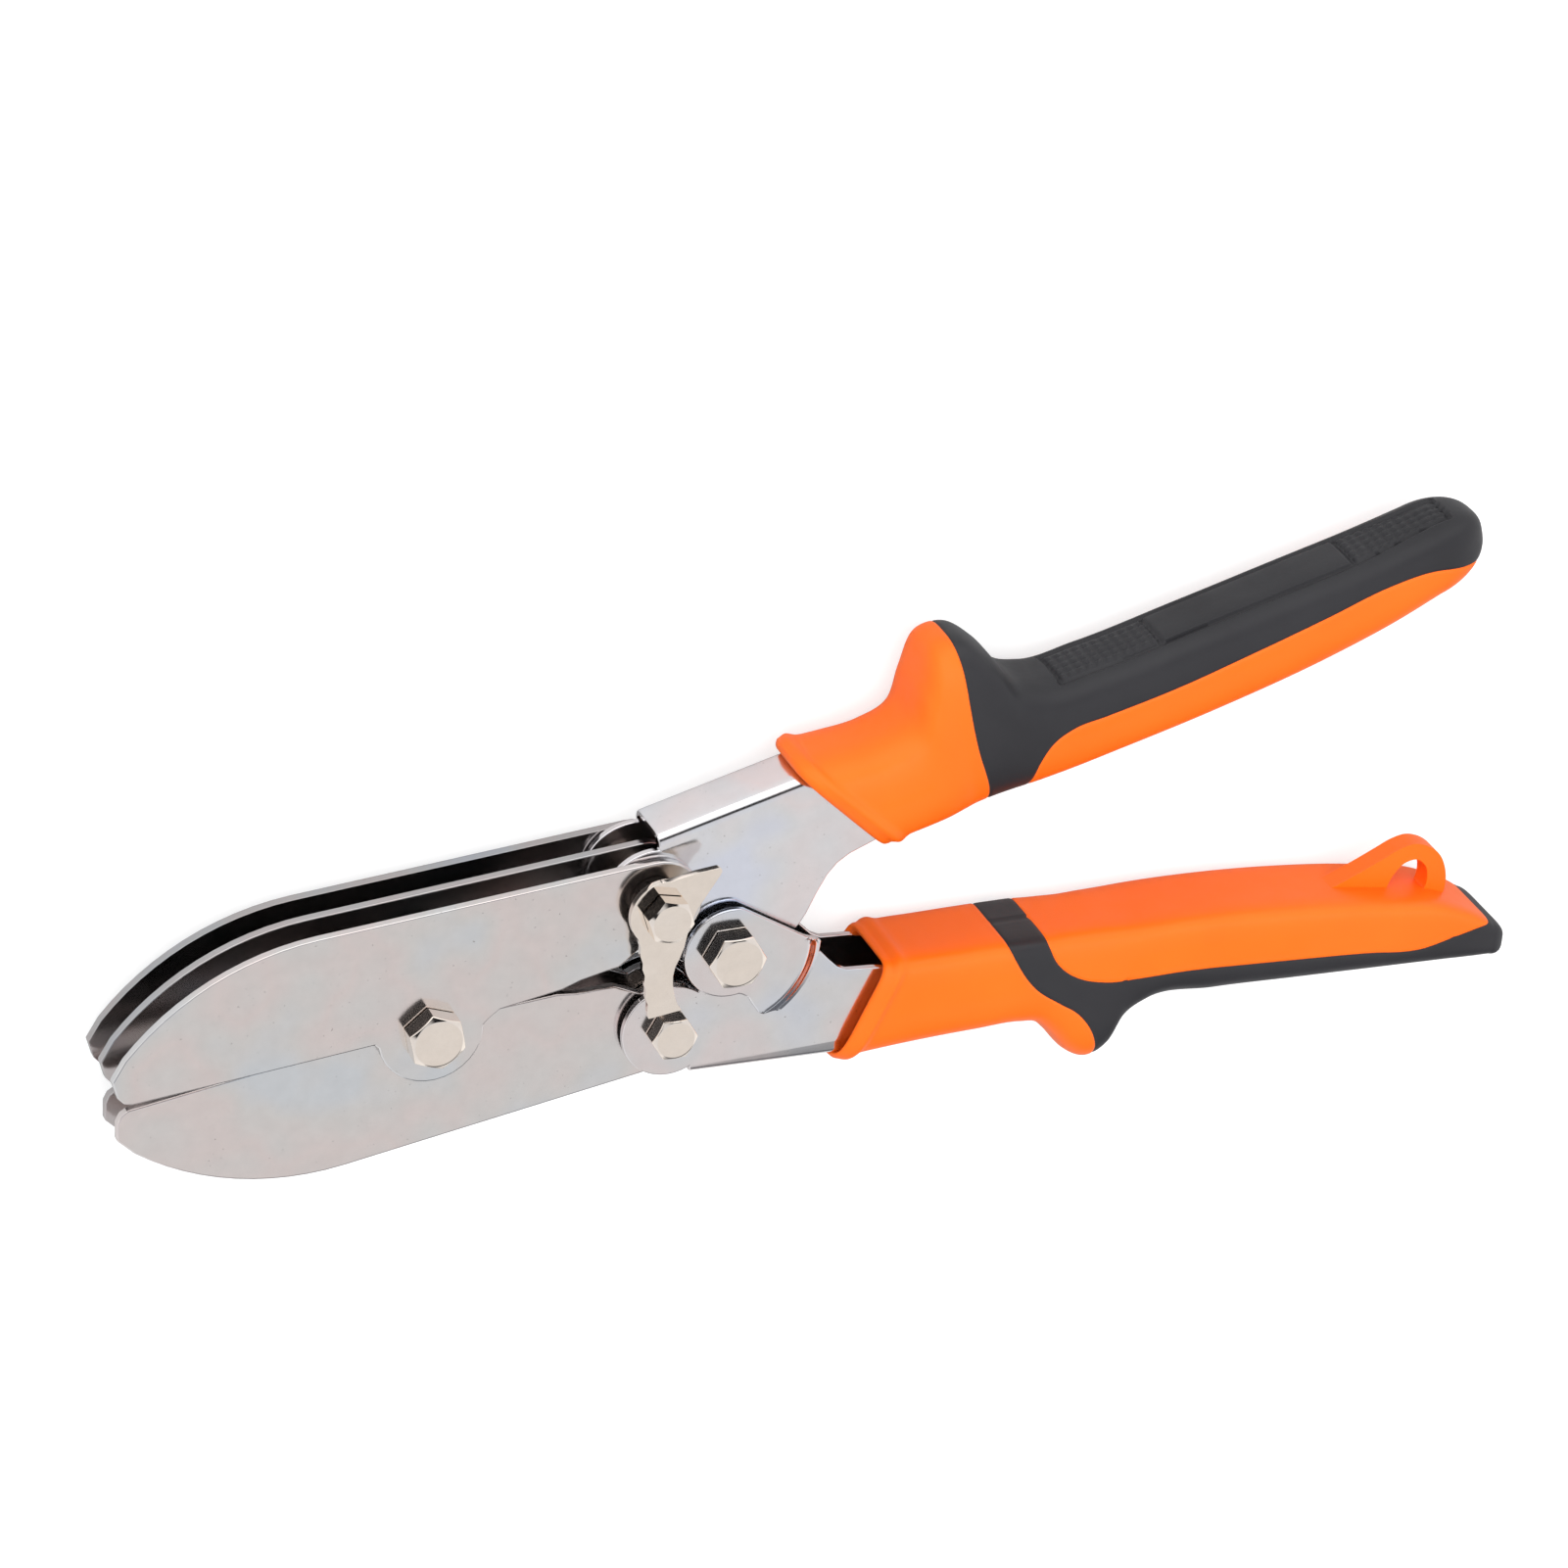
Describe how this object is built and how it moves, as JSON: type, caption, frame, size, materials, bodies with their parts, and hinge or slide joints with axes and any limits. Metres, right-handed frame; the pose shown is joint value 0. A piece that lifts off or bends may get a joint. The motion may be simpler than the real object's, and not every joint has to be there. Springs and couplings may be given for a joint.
{
  "type": "duct crimper",
  "caption": "Compound-leverage hand crimper for sheet-metal duct: interleaving flat blades, two-tone cushioned grips, swing latch and a hanging loop.",
  "frame": {"origin": "middle of the bounding box in plan, at the height of the two large nuts it lies on", "axes": "+X from the jaws to the grips, +Y from the lower handle to the upper handle, +Z along the bolts from the nuts to the heads"},
  "size_m": [0.279, 0.0992, 0.031],
  "materials": {
    "zinc_steel": "bright zinc plate",
    "nickel_plate": "bright nickel plate",
    "spring_steel": "oiled spring wire",
    "orange_plastic": "fine satin",
    "dark_rubber": "matte with a grained panel"
  },
  "bodies": {
    "upper_handle": {"upper_handle_channel": "zinc_steel", "upper_grip_body": "orange_plastic", "upper_grip_overmould": "dark_rubber", "upper_link_bolt": "nickel_plate", "upper_link_nut": "nickel_plate", "upper_link_sleeve_front": "nickel_plate", "upper_link_sleeve_back": "nickel_plate", "latch_spacer": "nickel_plate", "handle_pivot_bolt": "nickel_plate", "handle_pivot_nut": "nickel_plate", "handle_pivot_bush": "nickel_plate", "handle_pivot_washer_front": "nickel_plate", "handle_pivot_washer_back": "nickel_plate", "torsion_spring": "spring_steel"},
    "lower_handle": {"lower_handle_channel": "zinc_steel", "lower_grip_body": "orange_plastic", "lower_grip_overmould": "dark_rubber", "lower_link_bolt": "nickel_plate", "lower_link_nut": "nickel_plate", "lower_link_sleeve": "nickel_plate", "lower_link_washer_front": "nickel_plate", "lower_link_washer_back": "nickel_plate", "torsion_spring_lower_leg": "spring_steel"},
    "upper_jaw": {"upper_blade_front": "zinc_steel", "upper_blade_middle": "zinc_steel", "upper_blade_back": "zinc_steel", "jaw_pivot_bolt": "nickel_plate", "jaw_pivot_nut": "nickel_plate", "jaw_washer_1": "nickel_plate", "jaw_washer_2": "nickel_plate", "jaw_washer_3": "nickel_plate", "jaw_washer_4": "nickel_plate"},
    "lower_jaw": {"lower_blade_front": "zinc_steel", "lower_blade_back": "zinc_steel"},
    "latch": {"latch_plate": "nickel_plate"}
  },
  "joints": [
    {"name": "handle_open", "type": "hinge", "parent": "upper_handle", "child": "lower_handle", "pos_m": [-0.0208, -0.00125, 0.0144], "axis": [0, 0, -1], "range_deg": [-15, 30]},
    {"name": "upper_jaw_swing", "type": "hinge", "parent": "upper_handle", "child": "upper_jaw", "pos_m": [-0.0338, 0.01295, 0.0144], "axis": [0, 0, -1], "range_deg": [-10, 20]},
    {"name": "lower_jaw_swing", "type": "hinge", "parent": "upper_jaw", "child": "lower_jaw", "pos_m": [-0.0795, -0.00125, 0.0144], "axis": [0, 0, 1], "range_deg": [-5, 10]},
    {"name": "latch_swing", "type": "hinge", "parent": "upper_handle", "child": "latch", "pos_m": [-0.0338, 0.01295, 0.0266], "axis": [0, 0, -1], "range_deg": [0, 45]}
  ],
  "couplings": [
    {"joint": "upper_jaw_swing", "follows": "handle_open", "ratio": 0.6503},
    {"joint": "lower_jaw_swing", "follows": "handle_open", "ratio": 0.3006}
  ]
}
